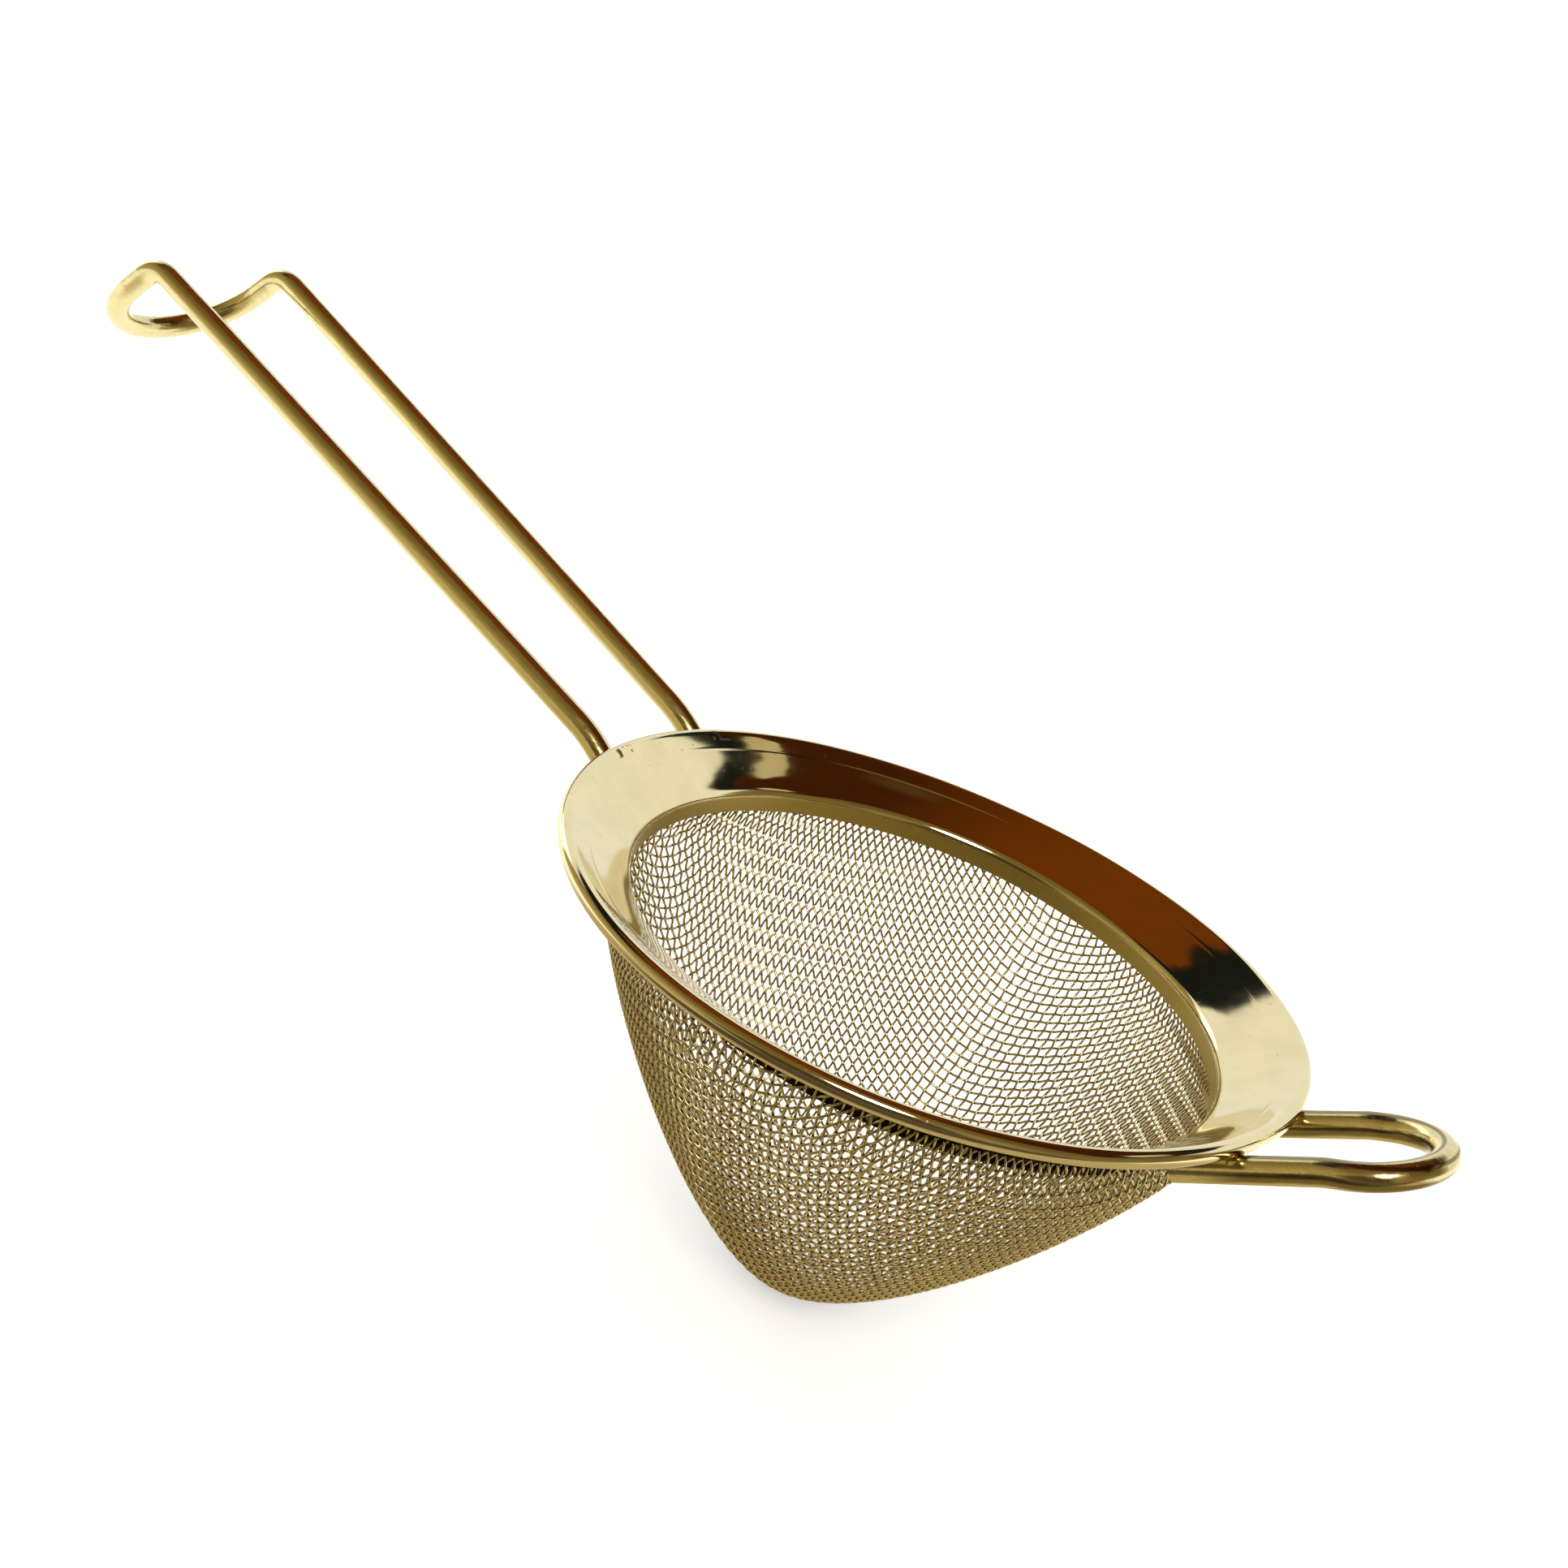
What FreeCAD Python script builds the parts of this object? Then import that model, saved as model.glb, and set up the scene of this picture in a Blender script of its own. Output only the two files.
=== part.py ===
"""Conical fine-mesh cocktail strainer: pressed rim flange, woven bowl, bent wire handle and rest loop.

Millimetres, +Z up along the rim's axis. The origin is the centre of the rolled edge's circle, the
handle runs towards -X, the rest loop towards +X, and the bowl hangs below the rim.
"""

import FreeCAD, Part
import math
import os

V = FreeCAD.Vector

# Pressed sheet rim: collar, rounded shoulder, conical flange and rolled edge
SHEET = 0.5                # sheet thickness
RIM_R = 43.5               # outside of the rolled edge
CURL_R = 0.75              # rolled edge, at the middle of the sheet
CURL_TURN = 285.0          # degrees the edge is rolled through
FLANGE_SLOPE = 34.0        # degrees, rising outwards
COLLAR_R = 35.45           # middle of the collar's sheet
COLLAR_FOOT_Z = -6.3       # bottom of the collar
SHOULDER_R = 1.2           # bend between collar and flange, at the middle of the sheet

# Woven bowl, as a skin as thick as the cloth: a short straight skirt, then a blunt bullet
CLOTH = 0.5
CLOTH_GAP = 0.1            # filled by the spot welds between collar and cloth
SKIRT_TOP_Z = -4.7
SKIRT_FOOT_Z = -9.6
BOWL_DEPTH = 43.6          # below the skirt, as if the tip were sharp
BOWL_SIDE_POWER = 1.45     # roundness of the bowl across its axis
BOWL_DEPTH_POWER = 1.10    # roundness of the bowl down its axis
TIP_BLUNTING = 0.12        # how much of the radius the tip's rounding takes
BOWL_STEPS = 18            # points along the bowl's profile

# Both wires
WIRE_R = 1.5
WIRE_INNER_X = 36.7        # inner ends of the wires, just outside the bowl's skirt

# Handle: two legs that part slightly and a U-shaped hook bent down at the far end
HANDLE_HALF_ROOT = 9.2     # half the distance between the legs, at the rim
HANDLE_HALF_END = 10.9     # the same, at the hook's corner
HANDLE_SEAT = 0.6          # how deep a leg is let into the rolled edge
HANDLE_ROOT_PITCH = 30.0   # degrees, rising outwards, where the legs lie under the flange
HANDLE_KNEE_X = 46.5       # where the legs bend from the flange's pitch to the handle's
HANDLE_KNEE_R = 18.0
HANDLE_PITCH = 15.7        # degrees, rising outwards
HANDLE_CORNER_X = 131.5    # where the hook starts
HANDLE_CORNER_R = 4.2
HOOK_DROP = 49.2           # degrees below horizontal
HOOK_LEG = 5.7             # straight part of the hook, from the corner to the U

# Rest loop: a plain U opposite the handle
LOOP_HALF = 7.8            # half the distance between the legs
LOOP_SEAT = 1.0            # how deep a leg is let into the rolled edge
LOOP_ROOT_PITCH = 34.0     # degrees, rising outwards, along the flange's underside
LOOP_BEND_X = 49.8         # where the loop bends to its own pitch
LOOP_BEND_R = 12.0
LOOP_END_PITCH = 27.0
LOOP_STRAIGHT_X = 51.3     # where the U starts

# Welds
FILLET_R = 1.15            # reach of a wire's weld from its line of contact
FILLET_START_X = 37.6      # along the wire, under the flange
FILLET_END_X = 40.6
SPACE_FOOT_Z = -9.0        # bottom of the space under the flange that a weld can fill
WELD_LEAST = 0.05          # mm3, below which a sliver of weld is left out
SPOT_COUNT = 24            # spot welds around the collar
SPOT_R = 0.6
SPOT_Z = -5.5


def radial(r, z):
    """Point in the profile plane: r from the axis, z up."""
    return V(r, 0, z)


def polar(centre, radius, degrees):
    """Point on a circle in the profile plane."""
    a = math.radians(degrees)
    return centre + V(radius * math.cos(a), 0, radius * math.sin(a))


def arc(centre, radius, start, end):
    """Circular edge in the profile plane, from start to end degrees."""
    middle = (start + end) / 2
    points = [polar(centre, radius, a) for a in (start, middle, end)]
    return Part.Arc(*points).toShape()


def turned(edges):
    """Solid of revolution about Z from the closed profile of these edges."""
    wire = Part.Wire(Part.__sortEdges__(edges))
    return Part.Face(wire).revolve(V(0, 0, 0), V(0, 0, 1), 360)


def flange_layout():
    """Centres and angles that the rim's sheet is drawn from."""
    slope = math.radians(FLANGE_SLOPE)
    curl = radial(RIM_R - SHEET / 2 - CURL_R, 0)
    up_slope = V(math.cos(slope), 0, math.sin(slope))
    off_sheet = V(-math.sin(slope), 0, math.cos(slope))
    cone_top = curl + off_sheet * CURL_R
    shoulder_x = COLLAR_R + SHOULDER_R
    cone_foot_x = shoulder_x + SHOULDER_R * off_sheet.x
    cone_foot = cone_top - up_slope * ((cone_top.x - cone_foot_x) / up_slope.x)
    shoulder = cone_foot - off_sheet * SHOULDER_R
    return curl, shoulder, cone_foot, cone_top, off_sheet


def rim_sheet():
    """Collar, shoulder, conical flange and rolled edge, turned from one strip of sheet."""
    curl, shoulder, cone_foot, cone_top, off_sheet = flange_layout()
    start = 90 + FLANGE_SLOPE
    end = start - CURL_TURN
    edges = []
    side_ends = []
    for side in (-SHEET / 2, SHEET / 2):
        foot = radial(COLLAR_R - side, COLLAR_FOOT_Z)
        collar_top = radial(COLLAR_R - side, shoulder.z)
        edges.append(Part.makeLine(foot, collar_top))
        edges.append(arc(shoulder, SHOULDER_R + side, 180, start))
        edges.append(Part.makeLine(cone_foot + off_sheet * side, cone_top + off_sheet * side))
        edges.append(arc(curl, CURL_R + side, start, end))
        side_ends.append((foot, polar(curl, CURL_R + side, end)))
    edges.append(Part.makeLine(side_ends[0][0], side_ends[1][0]))
    edges.append(Part.makeLine(side_ends[0][1], side_ends[1][1]))
    return turned(edges)


def under_flange_space():
    """Everything below the flange's underside, outside the skirt and inside the rolled edge."""
    curl, shoulder, cone_foot, cone_top, off_sheet = flange_layout()
    inner = cone_foot - off_sheet * SHEET / 2
    outer = cone_top - off_sheet * SHEET / 2
    corners = [inner, outer, radial(outer.x, SPACE_FOOT_Z), radial(inner.x, SPACE_FOOT_Z), inner]
    return turned([Part.makeLine(a, b) for a, b in zip(corners, corners[1:])])


def bowl_middle(turn):
    """Radius and height of the cloth's middle; turn runs from 0 at the skirt to 1 at the tip."""
    share = math.cos(turn * math.pi / 2) ** (2 / BOWL_SIDE_POWER)
    blunt = math.hypot(share, TIP_BLUNTING) / math.hypot(1, TIP_BLUNTING)
    drop = BOWL_DEPTH * (1 - blunt ** BOWL_SIDE_POWER) ** (1 / BOWL_DEPTH_POWER)
    return (COLLAR_R + SHEET / 2 + CLOTH_GAP + CLOTH / 2) * share, SKIRT_FOOT_Z - drop


def bowl_point(turn, offset):
    """Point of the bowl's profile, offset outwards from the cloth's middle."""
    r, z = bowl_middle(turn)
    if turn <= 0:
        return radial(r + offset, z)
    if turn >= 1:
        return radial(0, z - offset)
    step = 0.002
    r0, z0 = bowl_middle(turn - step)
    r1, z1 = bowl_middle(turn + step)
    length = math.hypot(r1 - r0, z1 - z0)
    return radial(r + offset * (z0 - z1) / length, z + offset * (r1 - r0) / length)


def bowl_curve(offset):
    """Spline along one face of the bowl, upright at the skirt and level at the tip."""
    points = [bowl_point(i / BOWL_STEPS, offset) for i in range(BOWL_STEPS + 1)]
    curve = Part.BSplineCurve()
    curve.interpolate(Points=points, InitialTangent=V(0, 0, -1), FinalTangent=V(-1, 0, 0))
    return curve.toShape(), points[0], points[-1]


def mesh_bowl():
    """Skin of the woven bowl: the skirt that overlaps the collar, and the bullet below it."""
    outer, outer_top, outer_tip = bowl_curve(CLOTH / 2)
    inner, inner_top, inner_tip = bowl_curve(-CLOTH / 2)
    skirt_out = radial(outer_top.x, SKIRT_TOP_Z)
    skirt_in = radial(inner_top.x, SKIRT_TOP_Z)
    edges = [
        outer,
        inner,
        Part.makeLine(outer_top, skirt_out),
        Part.makeLine(inner_top, skirt_in),
        Part.makeLine(skirt_out, skirt_in),
        Part.makeLine(outer_tip, inner_tip),
    ]
    return turned(edges)


def spot_welds():
    """Flat nuggets that join the cloth to the collar, evenly spaced around it."""
    inner = COLLAR_R + SHEET / 2
    ring = Part.makeCylinder(inner + CLOTH_GAP, 4 * SPOT_R, V(0, 0, SPOT_Z - 2 * SPOT_R))
    ring = ring.cut(Part.makeCylinder(inner, 4 * SPOT_R, V(0, 0, SPOT_Z - 2 * SPOT_R)))
    nuggets = []
    for i in range(SPOT_COUNT):
        a = 2 * math.pi * (i + 0.5) / SPOT_COUNT
        out = V(math.cos(a), math.sin(a), 0)
        pin = Part.makeCylinder(SPOT_R, inner + 1, V(0, 0, SPOT_Z), out)
        nuggets.append(ring.common(pin).Solids[0])
    return nuggets


def rounded_path(points, radii):
    """Edges of a polyline whose inner corners are rounded to the radii."""
    edges = []
    last = points[0]
    for before, corner, after, radius in zip(points, points[1:], points[2:], radii):
        back = (before - corner).normalize()
        ahead = (after - corner).normalize()
        half = back.getAngle(ahead) / 2
        reach = radius / math.tan(half)
        middle = (back + ahead).normalize() * (radius / math.sin(half) - radius)
        edges.append(Part.makeLine(last, corner + back * reach))
        edges.append(Part.Arc(corner + back * reach, corner + middle, corner + ahead * reach).toShape())
        last = corner + ahead * reach
    edges.append(Part.makeLine(last, points[-1]))
    return edges


def wire_along(edges):
    """Round wire swept along the path."""
    path = Part.Wire(edges)
    start = path.Edges[0]
    profile = Part.Wire(Part.makeCircle(WIRE_R, start.valueAt(start.FirstParameter),
                                        start.tangentAt(start.FirstParameter)))
    return path.makePipeShell([profile], True, True)


def seat_height(x, half, pitch, seat):
    """Height of a wire's middle, x from the axis, for a wire that lies seat deep in the rolled edge."""
    curl_outside = CURL_R + SHEET / 2
    curl_x = math.sqrt((RIM_R - curl_outside) ** 2 - half ** 2)
    rise = math.radians(pitch)
    return (x - curl_x) * math.tan(rise) - (curl_outside + WIRE_R - seat) / math.cos(rise)


def hairpin(legs, radii, end_direction):
    """One wire: the leg's points, a half circle across, and the same leg mirrored in Y."""
    mirrored = [V(p.x, -p.y, p.z) for p in legs]
    half = abs(legs[-1].y)
    crown = V(legs[-1].x, 0, legs[-1].z) + end_direction * half
    edges = rounded_path(legs, radii)
    edges.append(Part.Arc(legs[-1], crown, mirrored[-1]).toShape())
    edges += rounded_path(mirrored[::-1], radii[::-1])
    return wire_along(edges)


def handle_wire():
    """Handle: up from under the flange, knee, long legs, corner, and the hook's U."""
    rise = math.tan(math.radians(HANDLE_PITCH))
    drop = math.radians(HOOK_DROP)
    root_z = seat_height(WIRE_INNER_X, HANDLE_HALF_ROOT, HANDLE_ROOT_PITCH, HANDLE_SEAT)
    knee_z = seat_height(HANDLE_KNEE_X, HANDLE_HALF_ROOT, HANDLE_ROOT_PITCH, HANDLE_SEAT)
    corner_z = knee_z + (HANDLE_CORNER_X - HANDLE_KNEE_X) * rise
    hook = V(-math.cos(drop), 0, -math.sin(drop))
    corner = V(-HANDLE_CORNER_X, HANDLE_HALF_END, corner_z)
    legs = [
        V(-WIRE_INNER_X, HANDLE_HALF_ROOT, root_z),
        V(-HANDLE_KNEE_X, HANDLE_HALF_ROOT, knee_z),
        corner,
        corner + hook * HOOK_LEG,
    ]
    return hairpin(legs, [HANDLE_KNEE_R, HANDLE_CORNER_R], hook)


def rest_loop_wire():
    """Rest loop: straight legs out from under the flange, a slight bend, and a half circle."""
    pitch = math.radians(LOOP_END_PITCH)
    legs = [V(x, LOOP_HALF, seat_height(x, LOOP_HALF, LOOP_ROOT_PITCH, LOOP_SEAT))
            for x in (WIRE_INNER_X, LOOP_BEND_X)]
    end_z = legs[-1].z + (LOOP_STRAIGHT_X - LOOP_BEND_X) * math.tan(pitch)
    legs.append(V(LOOP_STRAIGHT_X, LOOP_HALF, end_z))
    return hairpin(legs, [LOOP_BEND_R], V(math.cos(pitch), 0, math.sin(pitch)))


def wire_welds(side, half, pitch, seat, rim, wire):
    """Fillets along both legs of a wire, between it and the flange's underside."""
    rise = math.radians(pitch)
    space = under_flange_space()
    fillets = []
    for y in (-half, half):
        start = V(side * FILLET_START_X, y, seat_height(FILLET_START_X, half, pitch, seat))
        end = V(side * FILLET_END_X, y, seat_height(FILLET_END_X, half, pitch, seat))
        lift = V(-side * math.sin(rise), 0, math.cos(rise)) * WIRE_R
        along = end - start
        core = Part.makeCylinder(FILLET_R, along.Length, start + lift, along)
        ends = [Part.makeSphere(FILLET_R, p + lift) for p in (start, end)]
        metal = core.fuse(ends).common(space).cut(wire).cut(rim)
        fillets += [s for s in metal.Solids if s.Volume > WELD_LEAST]
    return fillets


def write(name, solids):
    """One STEP file for the named piece."""
    shape = solids[0] if len(solids) == 1 else Part.makeCompound(solids)
    shape.exportStep("parts/%s.step" % name)
    print(name, len(solids), "solids", round(sum(s.Volume for s in solids), 1), "mm3",
          all(s.isValid() for s in solids))


def main():
    os.makedirs("parts", exist_ok=True)
    handle = handle_wire()
    loop = rest_loop_wire()
    rim = rim_sheet().cut(handle).cut(loop)
    rim = max(rim.Solids, key=lambda s: s.Volume)
    write("rim_flange", [rim])
    write("mesh_bowl", [mesh_bowl()])
    write("mesh_spot_welds", spot_welds())
    write("handle_wire", [handle])
    write("handle_welds", wire_welds(-1, HANDLE_HALF_ROOT, HANDLE_ROOT_PITCH, HANDLE_SEAT,
                                     rim, handle))
    write("rest_loop_wire", [loop])
    write("rest_loop_welds", wire_welds(1, LOOP_HALF, LOOP_ROOT_PITCH, LOOP_SEAT, rim, loop))


main()
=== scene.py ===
import math

import bpy
import numpy as np
from mathutils import Matrix, Vector

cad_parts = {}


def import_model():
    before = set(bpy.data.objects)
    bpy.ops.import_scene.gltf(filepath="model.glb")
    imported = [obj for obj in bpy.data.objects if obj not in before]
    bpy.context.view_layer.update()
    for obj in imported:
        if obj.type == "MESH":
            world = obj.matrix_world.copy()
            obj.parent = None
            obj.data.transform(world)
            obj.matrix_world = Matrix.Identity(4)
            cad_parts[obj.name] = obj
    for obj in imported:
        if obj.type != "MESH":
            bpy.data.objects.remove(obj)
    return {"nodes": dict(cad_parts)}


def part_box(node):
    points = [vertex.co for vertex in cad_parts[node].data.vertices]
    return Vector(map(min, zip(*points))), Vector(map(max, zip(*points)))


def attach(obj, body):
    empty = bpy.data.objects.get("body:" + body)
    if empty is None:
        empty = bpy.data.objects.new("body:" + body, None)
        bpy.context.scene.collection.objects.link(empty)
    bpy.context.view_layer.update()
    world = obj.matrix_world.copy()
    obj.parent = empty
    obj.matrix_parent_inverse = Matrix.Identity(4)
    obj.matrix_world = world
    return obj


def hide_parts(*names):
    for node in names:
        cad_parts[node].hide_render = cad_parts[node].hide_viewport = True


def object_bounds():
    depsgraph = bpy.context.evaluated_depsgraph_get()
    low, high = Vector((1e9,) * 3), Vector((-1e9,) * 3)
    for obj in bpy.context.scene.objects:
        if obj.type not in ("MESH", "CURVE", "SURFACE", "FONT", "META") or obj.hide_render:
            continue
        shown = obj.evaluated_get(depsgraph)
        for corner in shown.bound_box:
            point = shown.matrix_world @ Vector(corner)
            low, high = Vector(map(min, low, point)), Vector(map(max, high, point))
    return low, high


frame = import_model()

CAD_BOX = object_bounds()
MM = 0.001

# Woven cloth: a square plain weave draped over the bowl from its tip
WEAVE = 1.27 * MM              # from crossing to crossing along a wire
CLOTH_WIRE_R = 0.150 * MM
CRIMP = 0.150 * MM             # how far a wire swings either side of the cloth's middle
CLOTH_SKIN = 0.5 * MM          # thickness of the CAD part's stand-in for the cloth
WIRE_SIDES = 8
STEPS = 6                      # tube rings from crossing to crossing
BANDS = 4                      # pieces that each set of wires is split into
SKIRT_FOOT_Z = -9.6 * MM
SIDE_POWER = 1.45
DEPTH_POWER = 1.10
TIP_BLUNTING = 0.12
PROFILE_STEPS = 1600           # points along the bowl's profile
SKIRT_BEYOND = 90 * MM         # the profile runs on above the skirt, so that wires can be cut at its top
SOLVE_STEPS = 12               # Newton steps for each crossing of the drape

# Rim: pressed sheet with a rolled edge
SHEET = 0.5 * MM
CURL_R = 0.75 * MM             # middle of the sheet in the roll
CURL_TURN = 285.0
FLANGE_SLOPE = 34.0
COLLAR_R = 35.45 * MM
SHOULDER_R = 1.2 * MM
RIM_STEPS = 576
RIM_OVAL = 1.30 * MM           # the flange is sprung a little out of round, along the diagonals
RIM_OVAL_AXIS = -0.22 * MM
RIM_SADDLE = 0.60 * MM         # and its two ends lie higher than its sides
OUT_RIPPLES = ((5, 0.6, 0.03 * MM), (11, 2.0, 0.02 * MM))       # waves around the rim, phase, size
UP_RIPPLES = ((4, 1.3, 0.03 * MM), (13, 0.0, 0.012 * MM))
PRESS_LINE = 0.020 * MM        # faint ring left by the rolling tool
PRESS_LINE_IN = 2.0 * MM       # how far inside the roll the ring lies
PRESS_LINE_WIDTH = 0.16 * MM

# Camera
CAMERA_AZ = 20.21
CAMERA_EL = 24.42
CAMERA_ROLL = 24.07
CAMERA_DIST = 226.6 * MM
CAMERA_LENS = 46.06
CAMERA_AIM_RIGHT = -17.66 * MM
CAMERA_AIM_UP = 16.01 * MM

# Room seen in the metal, as azimuth from +X towards +Y and elevation, in degrees
WALL_AZ = 105.0                # middle of the bright wall behind the part
WALL_HALF = 66.0
WALL_TOP = 38.5
WINDOW_AZ = 152.0              # left end of the wall, brighter
WINDOW_TOP = 30.0
WINDOW_POWER = 2.6
LAMP_AZ = -63.0                # bright lamp above the camera
LAMP_EL = 44.0
LAMP_HALF = 8.0
LAMP_SOFT = 3.0                # width of the lamp's soft edge
LAMP_POWER = 12.0
PATCH_AZ = 38.0                # bright patch between the wall's dark edge and the ceiling
PATCH_EL = 47.5
PATCH_SLANT = 0.15             # rise of the patch, in degrees for each degree of azimuth
PATCH_HALF_AZ = 15.0
PATCH_HALF_EL = 3.6
EDGE_THICK = (7.0, 11.5)       # the wall's dark edge, at its right and its left
WAVE = 6.0                     # how far the room's outlines wander
LENS_TOWARD = (0.30, -0.95, 0.0)    # direction of the dark camera
FLOOR_HALF = 6.0               # metres

# Colours of the room and the floor
WHITE = (1.0, 1.0, 1.0)
LAMP_TINT = (1.0, 0.95, 0.85)
WINDOW_TINT = (1.0, 1.0, 0.9)
ROOM_LOW = (0.50, 0.40, 0.18)
ROOM_HIGH = (0.19, 0.135, 0.045)
LENS_DARK = (0.05, 0.03, 0.01)
RIGHT_DARK = (0.14, 0.09, 0.03)
EDGE_DARK = (0.009, 0.012, 0.012)
CEILING_RIGHT = (0.055, 0.014, 0.0025)
CEILING_LEFT = (0.17, 0.042, 0.004)
PATCH_COLOR = (0.59, 0.51, 0.34)
PAPER = (0.92, 0.92, 0.92)
PAPER_GRAIN = (0.85, 0.85, 0.84)
# painted shade on the floor, seen only in the metal: under the bowl and in front of it
PAPER_SHADE_UNDER_BOWL = (0.50, 0.41, 0.22)
PAPER_SHADE_IN_FRONT = (0.07, 0.045, 0.015)
PAPER_GLOW = 0.22

# Marks on the metal, and painted shade and painted dark reflections
PIT_Y = 9.0 * MM               # the weld pits lie above the handle's legs
PIT_SKEW = 0.062               # and a little further in at the far leg
PIT_COLOR = (0.10, 0.07, 0.02)
# collar colour below the shoulder, darker than the flange; the collar's roughness is raised too
COLLAR_DARKER = (0.50, 0.40, 0.13)
# painted shade on the collar's outer face, where it lies in the shadow under the flange
PAINTED_SHADE_UNDER_FLANGE = (0.07, 0.045, 0.015)
# brown of the painted dark reflections on the rest loop's legs
PAINTED_REFLECTION_BROWN = (0.17, 0.12, 0.04)


# ---------------------------------------------------------------- mesh tools

def mesh_from(name, verts, faces, smooth=True):
    """Object from vertices and a list of faces arrays, each of one number of corners."""
    mesh = bpy.data.meshes.new(name)
    sizes = np.concatenate([np.full(len(f), f.shape[1]) for f in faces])
    corners = np.concatenate([f.ravel() for f in faces]).astype(np.int32)
    mesh.vertices.add(len(verts))
    mesh.vertices.foreach_set("co", np.asarray(verts, np.float32).ravel())
    mesh.loops.add(len(corners))
    mesh.loops.foreach_set("vertex_index", corners)
    mesh.polygons.add(len(sizes))
    starts = np.concatenate([[0], np.cumsum(sizes)[:-1]]).astype(np.int32)
    mesh.polygons.foreach_set("loop_start", starts)
    mesh.polygons.foreach_set("loop_total", sizes.astype(np.int32))
    mesh.update(calc_edges=True)
    mesh.validate()
    if smooth:
        mesh.polygons.foreach_set("use_smooth", np.ones(len(sizes), bool))
    obj = bpy.data.objects.new(name, mesh)
    bpy.context.scene.collection.objects.link(obj)
    return obj


def tube(points, normals, radius, sides):
    """Vertices and quads of a round tube along the points."""
    n = len(points)
    tangent = np.gradient(points, axis=0)
    tangent /= np.linalg.norm(tangent, axis=1)[:, None]
    side = np.cross(tangent, normals)
    side /= np.linalg.norm(side, axis=1)[:, None]
    up = np.cross(side, tangent)
    a = 2 * np.pi * np.arange(sides) / sides
    ring = np.cos(a)[None, :, None] * up[:, None, :] + np.sin(a)[None, :, None] * side[:, None, :]
    verts = (points[:, None, :] + ring * radius).reshape(-1, 3)
    i = np.arange(n - 1)[:, None] * sides
    j = np.arange(sides)[None, :]
    k = (j + 1) % sides
    quads = np.stack([i + j, i + k, i + sides + k, i + sides + j], -1).reshape(-1, 4)
    return verts, quads


def smoothstep(x):
    """0 below 0, 1 above 1, smooth between."""
    x = np.clip(x, 0, 1)
    return x * x * (3 - 2 * x)


# ---------------------------------------------------------------- cloth

class Bowl:
    """The cloth's middle surface: radius and height against the arc length from the tip."""

    def __init__(self):
        low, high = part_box("mesh_bowl")
        skirt_r = high.x - CLOTH_SKIN / 2
        turn = np.linspace(1.0, 0.0, PROFILE_STEPS)
        share = np.cos(turn * np.pi / 2).clip(0) ** (2 / SIDE_POWER)
        blunt = np.hypot(share, TIP_BLUNTING) / np.hypot(1, TIP_BLUNTING)
        drop = (1 - blunt ** SIDE_POWER).clip(0) ** (1 / DEPTH_POWER)
        depth = (SKIRT_FOOT_Z - low.z - CLOTH_SKIN / 2) / drop[0]
        beyond = high.z + SKIRT_BEYOND
        self.top_z = high.z
        self.r = np.append(skirt_r * share, skirt_r)
        self.z = np.append(SKIRT_FOOT_Z - depth * drop, beyond)
        self.s = np.append(0, np.cumsum(np.hypot(np.diff(self.r), np.diff(self.z))))
        self.top_s = self.s[-1] - (beyond - high.z)

    def at(self, s):
        return np.interp(s, self.s, self.r), np.interp(s, self.s, self.z)

    def slope(self, s, reach=0.35 * MM):
        """Unit direction up the profile, over a short reach either side of s."""
        r0, z0 = self.at(np.maximum(s - reach, 0))
        r1, z1 = self.at(s + reach)
        length = np.hypot(r1 - r0, z1 - z0)
        return (r1 - r0) / length, (z1 - z0) / length

    def point(self, s, turn):
        r, z = self.at(s)
        return np.stack([r * np.cos(turn), r * np.sin(turn), z], -1)


def drape(bowl):
    """Arc length and azimuth of the crossings in one quarter of the bowl.

    Every piece of wire between two crossings is WEAVE long, so each crossing is found from the two before it.
    """
    n = int(bowl.top_s / WEAVE) + 4
    s = np.zeros((n, n))
    turn = np.zeros((n, n))
    s[:, 0] = np.arange(n) * WEAVE
    s[0, :] = np.arange(n) * WEAVE
    turn[0, :] = np.pi / 2
    turn[0, 0] = 0
    spot = bowl.point(s, turn)
    for total in range(2, 2 * n - 1):
        i = np.arange(max(1, total - n + 1), min(n - 1, total - 1) + 1)
        j = total - i
        left = spot[i - 1, j]
        below = spot[i, j - 1]
        guess = left + below - spot[i - 1, j - 1]
        u = (s[i - 1, j] + s[i, j - 1]) / 2 + WEAVE * 0.7
        v = np.arctan2(guess[:, 1], guess[:, 0])
        for _ in range(SOLVE_STEPS):
            p = bowl.point(u, v)
            r, _z = bowl.at(u)
            dr, dz = bowl.slope(u)
            along = np.stack([dr * np.cos(v), dr * np.sin(v), dz], -1)
            around = np.stack([-r * np.sin(v), r * np.cos(v), 0 * r], -1)
            fa = ((p - left) ** 2).sum(1) - WEAVE ** 2
            fb = ((p - below) ** 2).sum(1) - WEAVE ** 2
            a = 2 * ((p - left) * along).sum(1)
            b = 2 * ((p - left) * around).sum(1)
            c = 2 * ((p - below) * along).sum(1)
            d = 2 * ((p - below) * around).sum(1)
            det = a * d - b * c
            det = np.where(np.abs(det) < 1e-12, 1e-12, det)
            u = u - np.clip((d * fa - b * fb) / det, -WEAVE, WEAVE)
            v = v - np.clip((a * fb - c * fa) / det, -0.3, 0.3)
        s[i, j] = u
        turn[i, j] = v
        spot[i, j] = bowl.point(u, v)
    return s, turn


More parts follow.
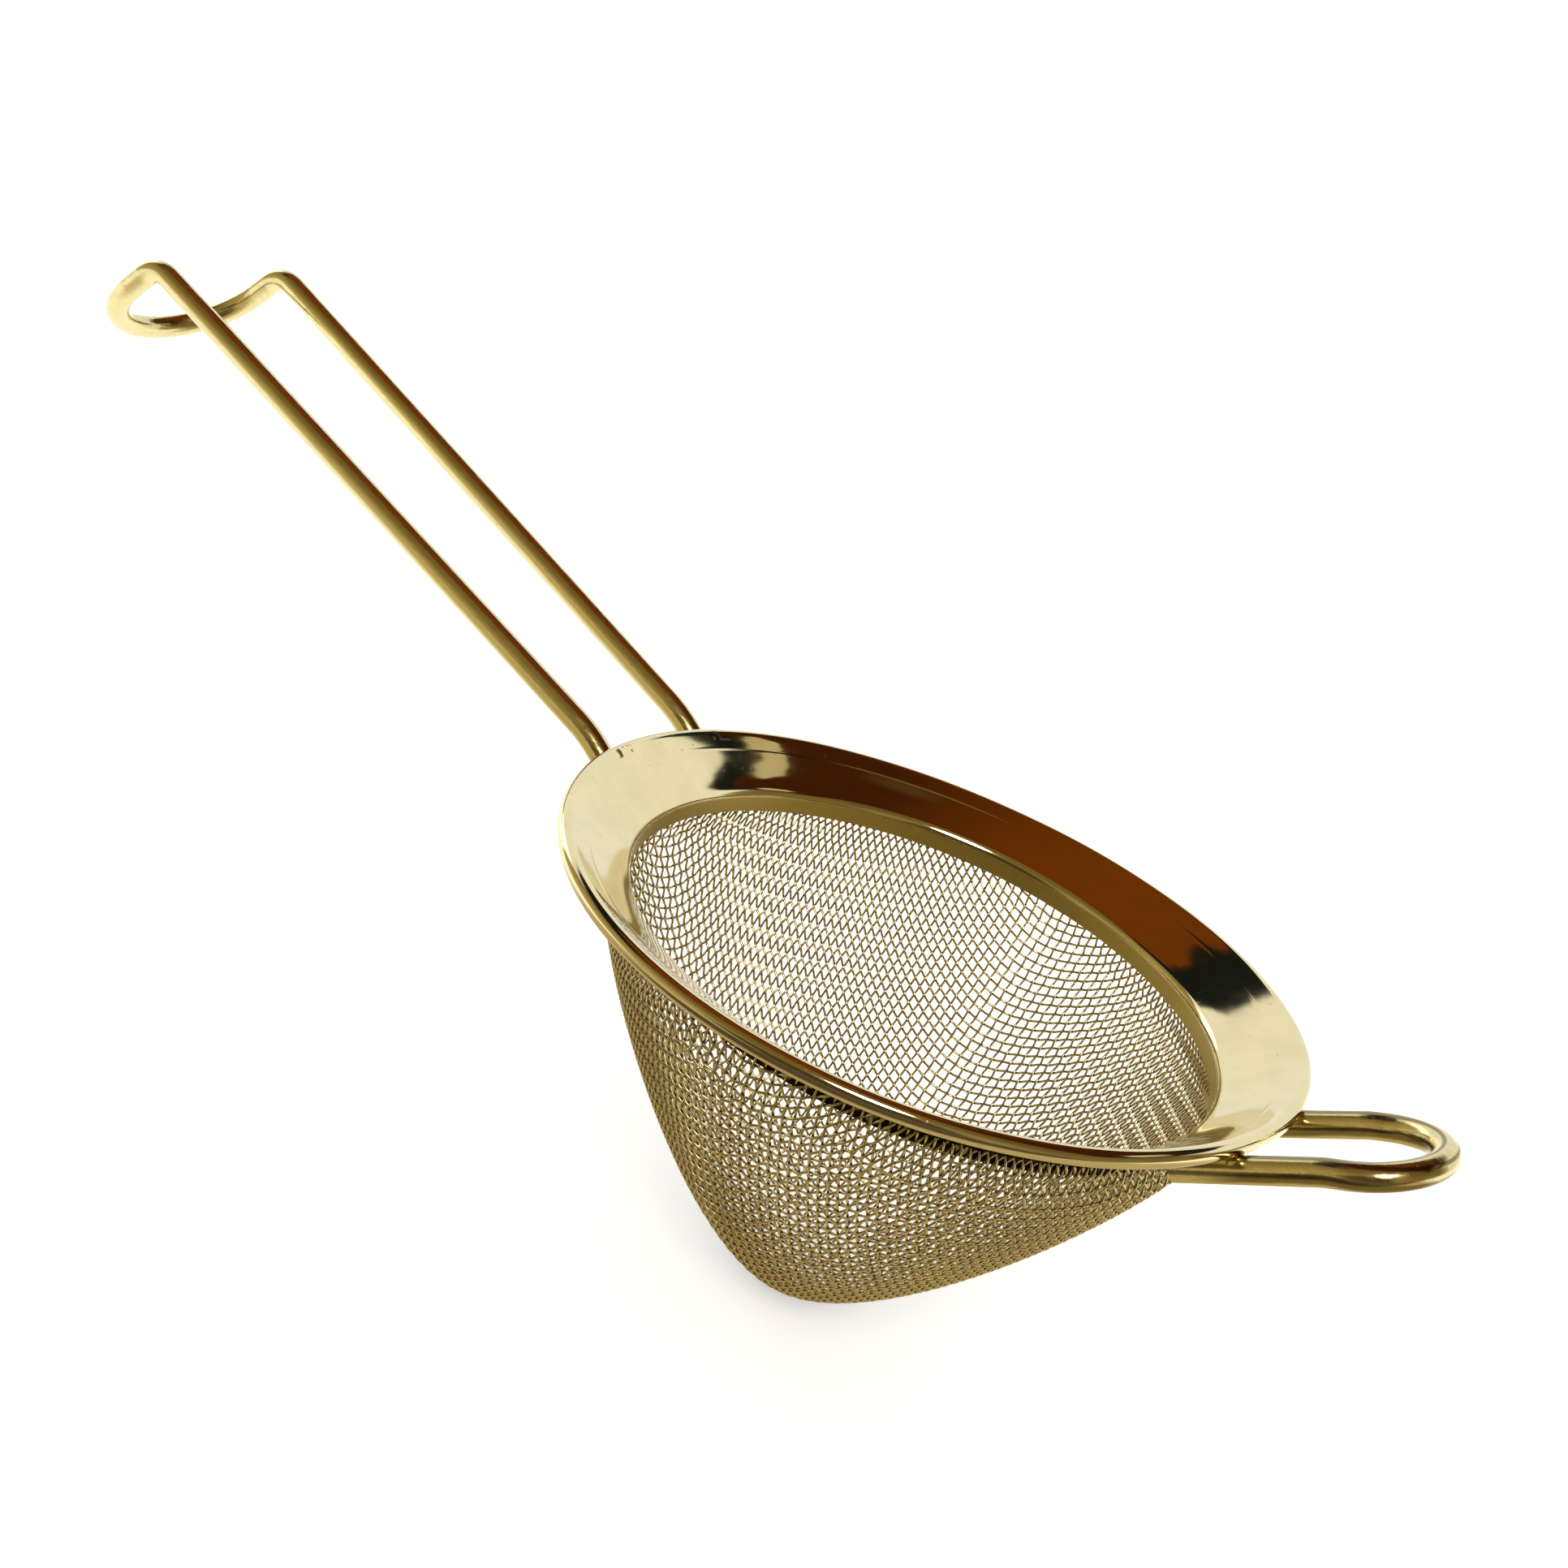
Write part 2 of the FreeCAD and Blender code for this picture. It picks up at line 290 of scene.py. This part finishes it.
def cloth_wire(index, weft, s, turn, bowl):
    """One crimped wire, cut at the top of the cloth: points and the cloth's normals."""
    lane = abs(index)
    row_s = s[lane] if weft else s[:, lane]
    row_turn = turn[lane] if weft else turn[:, lane]
    inside = np.nonzero(row_s < bowl.top_s)[0]
    if len(inside) == 0:
        return None
    count = inside[-1] + 2
    k = np.arange(-count, count + 1)
    arc = row_s[abs(k)]
    r, z = bowl.at(arc)
    along = np.cos(row_turn[abs(k)])
    across = np.sin(row_turn[abs(k)])
    flip = -1.0 if index < 0 else 1.0
    x_sign, y_sign = (flip, np.sign(k)) if weft else (np.sign(k), flip)
    x = x_sign * r * along
    y = y_sign * r * across
    knots = np.stack([x, y, z, arc], 1)
    fine = np.arange(1, len(k) - 2, 1 / STEPS)
    base = np.floor(fine + 1e-9).astype(int)
    t = (fine - base)[:, None]
    p0, p1, p2, p3 = (knots[base + step] for step in (-1, 0, 1, 2))
    curve = 0.5 * (2 * p1 + (p2 - p0) * t + (2 * p0 - 5 * p1 + 4 * p2 - p3) * t ** 2
                   + (3 * p1 - p0 - 3 * p2 + p3) * t ** 3)
    line, arc = curve[:, :3], curve[:, 3]
    dr, dz = bowl.slope(arc)
    radial = line[:, :2] / np.maximum(np.linalg.norm(line[:, :2], axis=1), 1e-9)[:, None]
    normals = np.stack([dz * radial[:, 0], dz * radial[:, 1], -dr], 1)
    phase = (-1.0) ** (k[base] + index) * np.cos(np.pi * t[:, 0])
    lift = CRIMP * phase * (1 if weft else -1)
    points = line + normals * lift[:, None]
    keep = line[:, 2] < bowl.top_z
    return points[keep], normals[keep]


def woven_cloth():
    """The bowl's two crossing sets of wires, each in bands."""
    bowl = Bowl()
    s, turn = drape(bowl)
    most = len(s) - 1
    pieces = []
    for weft, title in ((False, "warp"), (True, "weft")):
        wires = [cloth_wire(index, weft, s, turn, bowl) for index in range(-most, most + 1)]
        wires = [w for w in wires if w is not None and len(w[0]) > STEPS]
        ends = np.cumsum([len(w[0]) for w in wires])
        band = np.minimum((ends - 1) * BANDS // ends[-1], BANDS - 1)
        for number in range(BANDS):
            verts, quads, caps = [], [], []
            total = 0
            for wire in (w for w, b in zip(wires, band) if b == number):
                v, q = tube(wire[0], wire[1], CLOTH_WIRE_R, WIRE_SIDES)
                verts.append(v)
                quads.append(q + total)
                first = np.arange(WIRE_SIDES) + total
                caps += [first[::-1], first + len(v) - WIRE_SIDES]
                total += len(v)
            pieces.append(mesh_from("mesh_%s_%d" % (title, number + 1), np.concatenate(verts),
                                    [np.concatenate(quads), np.array(caps)]))
    return pieces


# ---------------------------------------------------------------- rim

def rim_middle():
    """Middle of the sheet from the collar's foot over the flange to the end of the roll, with its normals."""
    low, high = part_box("rim_flange")
    slope = math.radians(FLANGE_SLOPE)
    up = np.array([-math.sin(slope), math.cos(slope)])
    roll = np.array([high.x - CURL_R - SHEET / 2, 0.0])
    shoulder_r = COLLAR_R + SHOULDER_R
    across = (CURL_R - SHOULDER_R + (shoulder_r - roll[0]) * math.sin(slope)) / math.cos(slope)
    shoulder = np.array([shoulder_r, across])
    points, normals = [], []
    foot = low.z
    for z in np.concatenate([[foot, foot + 0.05 * MM], np.linspace(foot + 0.3 * MM, shoulder[1], 6)]):
        points.append([COLLAR_R, z])
        normals.append([-1.0, 0.0])
    for a in np.linspace(math.pi, math.pi / 2 + slope, 12)[1:]:
        n = np.array([math.cos(a), math.sin(a)])
        points.append(shoulder + SHOULDER_R * n)
        normals.append(n)
    start = shoulder + SHOULDER_R * up
    end = roll + CURL_R * up
    length = np.linalg.norm(end - start)
    ring_at = 1 - PRESS_LINE_IN / length
    spread = PRESS_LINE_WIDTH / length
    for t in np.concatenate([np.linspace(0.06, ring_at - 3 * spread, 8),
                             ring_at + spread * np.linspace(-2.5, 2.5, 13),
                             np.linspace(ring_at + 3 * spread, 0.97, 5)]):
        bulge = PRESS_LINE * math.exp(-((t - ring_at) / spread) ** 2)
        points.append(start + (end - start) * t + up * bulge)
        normals.append(up)
    for a in np.linspace(0, math.radians(CURL_TURN), 40):
        angle = math.pi / 2 + slope - a
        n = np.array([math.cos(angle), math.sin(angle)])
        points.append(roll + CURL_R * n)
        normals.append(n)
    return np.array(points), np.array(normals)


def rim():
    """The rim as one closed sheet turned around the axis, sprung slightly out of round."""
    middle, normals = rim_middle()
    section = np.concatenate([middle + normals * SHEET / 2, (middle - normals * SHEET / 2)[::-1]])
    inner = COLLAR_R + SHOULDER_R
    outer = middle[:, 0].max() - CURL_R
    on_roll = np.maximum.accumulate(middle[:, 0] >= outer)
    share = np.where(on_roll, 1.0, smoothstep((middle[:, 0] - inner) / (outer - inner)))
    share = np.concatenate([share, share[::-1]])
    turn = 2 * np.pi * np.arange(RIM_STEPS) / RIM_STEPS
    out = RIM_OVAL * np.sin(2 * turn) + RIM_OVAL_AXIS * np.cos(2 * turn)
    out += sum(size * np.sin(waves * turn + phase) for waves, phase, size in OUT_RIPPLES)
    rise = RIM_SADDLE * np.cos(2 * turn)
    rise += sum(size * np.sin(waves * turn + phase) for waves, phase, size in UP_RIPPLES)
    r = section[None, :, 0] + share[None, :] * out[:, None]
    z = section[None, :, 1] + share[None, :] * rise[:, None]
    verts = np.stack([r * np.cos(turn)[:, None], r * np.sin(turn)[:, None], z], -1).reshape(-1, 3)
    m = len(section)
    i = np.arange(RIM_STEPS)[:, None] * m
    ahead = (np.arange(RIM_STEPS)[:, None] + 1) % RIM_STEPS * m
    j = np.arange(m)[None, :]
    k = (j + 1) % m
    quads = np.stack([i + j, i + k, ahead + k, ahead + j], -1).reshape(-1, 4)
    return mesh_from("rim_sheet", verts, [quads])


# ---------------------------------------------------------------- shader tools

class Graph:
    """Short names for adding shader nodes."""

    def __init__(self, tree):
        self.tree = tree

    def node(self, kind, inputs=(), **settings):
        n = self.tree.nodes.new(kind)
        for key, value in settings.items():
            setattr(n, key, value)
        for key, value in dict(inputs).items():
            self.put(n.inputs[key], value)
        return n

    def put(self, socket, value):
        if isinstance(value, bpy.types.NodeSocket):
            self.tree.links.new(value, socket)
        elif isinstance(value, (tuple, list)) and len(value) == 3 and socket.type == "RGBA":
            socket.default_value = (*value, 1)
        else:
            socket.default_value = value

    def math(self, op, a, b=0.0):
        return self.node("ShaderNodeMath", {0: a, 1: b}, operation=op).outputs[0]

    def add(self, a, b):
        return self.math("ADD", a, b)

    def sub(self, a, b):
        return self.math("SUBTRACT", a, b)

    def mul(self, a, b):
        return self.math("MULTIPLY", a, b)

    def ramp(self, value, start, end, low=0.0, high=1.0):
        """Smooth step of value from low at start to high at end."""
        n = self.node("ShaderNodeMapRange", {"Value": value, "From Min": start, "From Max": end,
                                             "To Min": low, "To Max": high})
        n.interpolation_type = "SMOOTHSTEP"
        return n.outputs["Result"]

    def mix(self, mask, a, b):
        n = self.node("ShaderNodeMix", data_type="RGBA")
        self.put(n.inputs["Factor"], mask)
        self.put(n.inputs["A"], a)
        self.put(n.inputs["B"], b)
        return n.outputs["Result"]

    def noise(self, vector, scale, detail=2.0):
        n = self.node("ShaderNodeTexNoise", {"Vector": vector, "Scale": scale, "Detail": detail})
        return n.outputs["Fac"]

    def dot(self, a, b):
        return self.node("ShaderNodeVectorMath", {0: a, 1: b}, operation="DOT_PRODUCT").outputs["Value"]

    def split(self, vector):
        axes = self.node("ShaderNodeSeparateXYZ", {"Vector": vector})
        return axes.outputs["X"], axes.outputs["Y"], axes.outputs["Z"]


def metal(name, base, rough, grain, streak=(1, 1, 1), streak_scale=900, bump=0.05, cast=0.05, marks_and_painted_light=None,
          gap=0.0):
    """Plated metal: fine lines, cloudy patches, darker specks, and painted shade in gaps narrower than gap.
    """
    m = bpy.data.materials.new(name)
    m.use_nodes = True
    g = Graph(m.node_tree)
    bsdf = m.node_tree.nodes["Principled BSDF"]
    place = g.node("ShaderNodeTexCoord").outputs["Object"]
    stretched = g.node("ShaderNodeMapping", {"Vector": place, "Scale": streak}).outputs["Vector"]
    lines = g.noise(stretched, streak_scale, 4)
    cloud = g.noise(place, 70, 3)
    specks = g.ramp(g.noise(place, 1400, 2), 0.68, 0.76)
    tint_low = [c * (1 - cast) for c in base]
    tint_high = [min(1, c * (1 + cast)) for c in base]
    color = g.mix(g.ramp(cloud, 0.3, 0.7), tint_low, tint_high)
    color = g.mix(g.mul(g.ramp(lines, 0.35, 0.75), 0.35), color, [c * 0.82 for c in base])
    color = g.mix(g.mul(specks, 0.25), color, [c * 0.45 for c in base])
    roughness = g.add(g.ramp(lines, 0.3, 0.7, rough - grain, rough + grain), g.mul(specks, 0.15))
    # the hooks add weld pits, painted shade and painted dark reflections
    if marks_and_painted_light:
        color, roughness = marks_and_painted_light(g, place, color, roughness)
    if gap:
        # painted shade: where other wire lies closer than gap, the plating is darkened nearly to black,
        # standing in for shade in the crossings
        near = g.node("ShaderNodeAmbientOcclusion", {"Distance": gap}, samples=4).outputs["AO"]
        color = g.mix(g.ramp(near, 0.42, 0.93), [c * 0.08 for c in base], color)
    g.put(bsdf.inputs["Metallic"], 1.0)
    g.put(bsdf.inputs["Base Color"], color)
    g.put(bsdf.inputs["Roughness"], roughness)
    relief = g.node("ShaderNodeBump", {"Strength": bump, "Distance": 0.05 * MM, "Height": lines})
    g.put(bsdf.inputs["Normal"], relief.outputs["Normal"])
    return m


def weld_marks_and_painted_shade(g, place, color, roughness):
    """Dark pits above the handle's welds, a darker and rougher (satin) collar, and painted shade, nearly
    black, on the collar's outer face under the flange.
    """
    x, y, z = g.split(place)
    radius = g.math("SQRT", g.add(g.mul(x, x), g.mul(y, y)))
    sprung = g.add(radius, g.mul(y, PIT_SKEW))
    pitted = g.mul(g.ramp(sprung, 41.0 * MM, 41.3 * MM), g.ramp(sprung, 42.3 * MM, 42.0 * MM))
    off_leg = g.math("ABSOLUTE", g.sub(g.math("ABSOLUTE", y), PIT_Y))
    pitted = g.mul(pitted, g.ramp(off_leg, 1.9 * MM, 1.2 * MM))
    pitted = g.mul(pitted, g.ramp(x, -30 * MM, -34 * MM))
    pits = g.mul(pitted, g.ramp(g.noise(place, 1150, 1), 0.50, 0.545))
    collar = g.ramp(z, -3.9 * MM, -4.5 * MM)
    facing = g.dot(g.node("ShaderNodeNewGeometry").outputs["Normal"], place)
    # painted shade: the outward-facing collar below the flange is painted nearly black
    under_flange_shade = g.mul(g.ramp(facing, 5 * MM, 20 * MM), g.ramp(z, -3.0 * MM, -3.6 * MM))
    color = g.mix(pits, color, PIT_COLOR)
    color = g.mix(collar, color, COLLAR_DARKER)
    color = g.mix(under_flange_shade, color, PAINTED_SHADE_UNDER_FLANGE)
    return color, g.add(roughness, g.mul(g.add(pits, collar), 0.3))


def painted_dark_reflections(g, place, color, roughness):
    """Painted dark reflections: brown bands along the upper edge and the lower flanks of the rest loop's
    legs, placed by which way the surface faces.
    """
    x, _y, _z = g.split(place)
    _nx, _ny, up = g.split(g.node("ShaderNodeNewGeometry").outputs["Normal"])
    wavy = g.add(up, g.mul(g.sub(g.noise(place, 160, 2), 0.5), 0.5))
    # painted dark reflections: bands chosen by how far the surface faces up or down
    flank = g.mul(g.ramp(wavy, 0.15, -0.05), g.ramp(wavy, -0.62, -0.40))
    crest = g.mul(g.ramp(up, 0.72, 0.80), g.ramp(up, 0.93, 0.88))
    legs = g.mul(g.ramp(x, 38 * MM, 44 * MM), g.ramp(x, 76 * MM, 68 * MM))
    mask = g.mul(g.mul(g.math("MAXIMUM", flank, crest), legs), 0.85)
    return g.mix(mask, color, PAINTED_REFLECTION_BROWN), roughness


def assign(obj, material):
    """The object's only material."""
    obj.data.materials.clear()
    obj.data.materials.append(material)


# ---------------------------------------------------------------- the part

def build():
    sheet = metal("rim_polish", [0.80, 0.70, 0.41], 0.075, 0.02, streak_scale=260, bump=0.01,
                  cast=0.02, marks_and_painted_light=weld_marks_and_painted_shade)
    wire = metal("wire_satin", [0.76, 0.66, 0.33], 0.19, 0.06, streak=(0.05, 1, 1), streak_scale=2600,
                 bump=0.22, marks_and_painted_light=painted_dark_reflections)
    cloth = metal("mesh_plate", [0.78, 0.67, 0.38], 0.20, 0.05, streak_scale=2200, bump=0.1, gap=0.6 * MM)
    weld = metal("weld_plate", [0.60, 0.47, 0.22], 0.34, 0.08, streak_scale=1300, bump=0.5)
    for piece in woven_cloth():
        assign(piece, cloth)
        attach(piece, "root")
        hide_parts("mesh_bowl")
    piece = rim()
    assign(piece, sheet)
    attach(piece, "root")
    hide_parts("rim_flange")
    for node, material in (("rim_flange", sheet), ("handle_wire", wire), ("rest_loop_wire", wire),
                           ("handle_welds", weld), ("rest_loop_welds", weld), ("mesh_spot_welds", weld)):
        assign(frame["nodes"][node], material)


# ---------------------------------------------------------------- the room

def toward(az, el):
    """Unit direction from azimuth and elevation in degrees."""
    az, el = math.radians(az), math.radians(el)
    return math.cos(el) * math.cos(az), math.cos(el) * math.sin(az), math.sin(el)


def near_room(g, ray, az, el):
    """The tan room on the camera's side: darker above, behind the lens and on the right, with one lamp."""
    color = g.mix(g.ramp(el, 0, 50), ROOM_LOW, ROOM_HIGH)
    lens = g.ramp(g.dot(ray, LENS_TOWARD), 0.72, 0.88)
    color = g.mix(g.mul(lens, 0.92), color, LENS_DARK)
    right_side = g.mul(g.ramp(az, -66, -80), g.ramp(az, -150, -120))
    color = g.mix(g.mul(right_side, 0.7), color, RIGHT_DARK)
    edge, core = (math.cos(math.radians(LAMP_HALF + soft)) for soft in (LAMP_SOFT, 0))
    lamp = g.ramp(g.dot(ray, toward(LAMP_AZ, LAMP_EL)), edge, core)
    return g.mix(lamp, color, [LAMP_POWER * c for c in LAMP_TINT])


def ceiling_color(g, az, over, left):
    """Above the wall: a nearly black edge, a tan patch in it, and a brown ceiling."""
    ceiling = g.mix(g.ramp(left, -0.4, 0.25), CEILING_RIGHT, CEILING_LEFT)
    beyond = g.sub(over, g.ramp(az, -45, 25, *EDGE_THICK))
    color = g.mix(g.ramp(beyond, -0.6, 0.6), EDGE_DARK, ceiling)
    across = g.sub(az, PATCH_AZ - WALL_AZ)
    line = g.add(g.mul(across, PATCH_SLANT), PATCH_EL - WALL_TOP)
    wide = g.mul(across, 1 / PATCH_HALF_AZ)
    high = g.mul(g.sub(over, line), 1 / PATCH_HALF_EL)
    patch = g.math("SQRT", g.add(g.mul(wide, wide), g.mul(high, high)))
    return g.mix(g.ramp(patch, 1.08, 0.92), color, PATCH_COLOR)


def room_color(g):
    """What the metal mirrors in each direction; az is measured from the middle of the bright wall."""
    ray = g.node("ShaderNodeTexCoord").outputs["Generated"]
    turned = g.node("ShaderNodeVectorRotate", {"Vector": ray, "Angle": -math.radians(WALL_AZ)},
                    rotation_type="Z_AXIS").outputs["Vector"]
    back, left, up = g.split(turned)
    wave_el = g.mul(g.sub(g.noise(ray, 6.0, 2), 0.5), WAVE)
    wave_az = g.mul(g.sub(g.noise(turned, 7.0, 1), 0.5), WAVE)
    az = g.add(g.mul(g.math("ARCTAN2", left, back), 180 / math.pi), wave_az)
    el = g.add(g.mul(g.math("ARCSINE", up), 180 / math.pi), wave_el)
    over = g.sub(el, WALL_TOP)
    overhead = g.mul(g.ramp(over, -0.5, 0.5), g.ramp(back, -0.20, -0.10))
    color = g.mix(overhead, near_room(g, ray, az, el), ceiling_color(g, az, over, left))
    wall = g.mul(g.ramp(g.math("ABSOLUTE", az), WALL_HALF + 4, WALL_HALF - 4), g.ramp(over, 0.5, -0.5))
    window_az = WINDOW_AZ - WALL_AZ
    window = g.mul(g.ramp(az, window_az, window_az + 5), g.ramp(el, WINDOW_TOP, WINDOW_TOP - 5))
    return g.mix(wall, color, g.mix(window, WHITE, [WINDOW_POWER * c for c in WINDOW_TINT]))


def floor():
    """Plain pale paper; mirrored in the metal it carries painted shade: dimmer under the bowl and dark in
    front of it.
    """
    floor_z = CAD_BOX[0][2]
    corners = [(x * FLOOR_HALF, y * FLOOR_HALF, floor_z) for x, y in ((-1, -1), (1, -1), (1, 1), (-1, 1))]
    sheet = mesh_from("floor", np.array(corners, float), [np.array([[0, 1, 2, 3]])], smooth=False)
    m = bpy.data.materials.new("floor_paper")
    m.use_nodes = True
    g = Graph(m.node_tree)
    bsdf = m.node_tree.nodes["Principled BSDF"]
    place = g.node("ShaderNodeTexCoord").outputs["Object"]
    x, y, _z = g.split(place)
    mirrored = g.sub(1.0, g.node("ShaderNodeLightPath").outputs["Is Camera Ray"])
    # painted shade in the floor's reflection: dimmer under the bowl, dark in front of it; the camera sees
    # plain paper
    near = g.mul(g.ramp(g.sub(y, x), 130 * MM, 50 * MM), g.ramp(y, 100 * MM, 30 * MM))
    front = g.mul(g.ramp(y, -45 * MM, -85 * MM), g.ramp(x, -110 * MM, -50 * MM))
    dim = g.mul(near, mirrored)
    paper = g.mix(dim, PAPER, PAPER_SHADE_UNDER_BOWL)
    paper = g.mix(g.mul(front, mirrored), paper, PAPER_SHADE_IN_FRONT)
    paper = g.mix(g.mul(g.noise(place, 60, 3), 0.02), paper, PAPER_GRAIN)
    g.put(bsdf.inputs["Base Color"], paper)
    g.put(bsdf.inputs["Roughness"], 0.9)
    g.put(bsdf.inputs["Emission Color"], WHITE)
    g.put(bsdf.inputs["Emission Strength"], g.mul(g.sub(1.0, dim), PAPER_GLOW))
    assign(sheet, m)


def world():
    """Even white light on matt surfaces and in the background; the room in the metal."""
    studio = bpy.data.worlds.new("studio")
    bpy.context.scene.world = studio
    studio.use_nodes = True
    g = Graph(studio.node_tree)
    path = g.node("ShaderNodeLightPath")
    plain = g.math("MAXIMUM", path.outputs["Is Camera Ray"], path.outputs["Is Diffuse Ray"])
    background = studio.node_tree.nodes["Background"]
    g.put(background.inputs["Color"], g.mix(plain, room_color(g), WHITE))
    g.put(background.inputs["Strength"], 1.0)


def camera():
    """The photograph's view: turned, raised and rolled about a point near the rim's centre."""
    az, el, roll = (math.radians(a) for a in (CAMERA_AZ, CAMERA_EL, CAMERA_ROLL))
    back = Vector((math.sin(az) * math.cos(el), -math.cos(az) * math.cos(el), math.sin(el)))
    right = Vector((math.cos(az), math.sin(az), 0))
    up = Vector((-math.sin(az) * math.sin(el), math.cos(az) * math.sin(el), math.cos(el)))
    rolled_right = math.cos(roll) * right + math.sin(roll) * up
    rolled_up = -math.sin(roll) * right + math.cos(roll) * up
    place = back * CAMERA_DIST
    aim = CAMERA_AIM_RIGHT * rolled_right + CAMERA_AIM_UP * rolled_up
    ahead = (aim - place).normalized()
    true_up = (rolled_up - ahead * rolled_up.dot(ahead)).normalized()
    side = ahead.cross(true_up)
    rotation = Matrix((side, true_up, -ahead)).transposed()
    data = bpy.data.cameras.new("camera")
    data.lens = CAMERA_LENS
    data.sensor_width = 36
    data.clip_start = 0.01
    obj = bpy.data.objects.new("camera", data)
    obj.matrix_world = Matrix.Translation(place) @ rotation.to_4x4()
    bpy.context.scene.collection.objects.link(obj)
    bpy.context.scene.camera = obj


build()
floor()
world()
camera()
bpy.context.scene.view_settings.view_transform = "Standard"
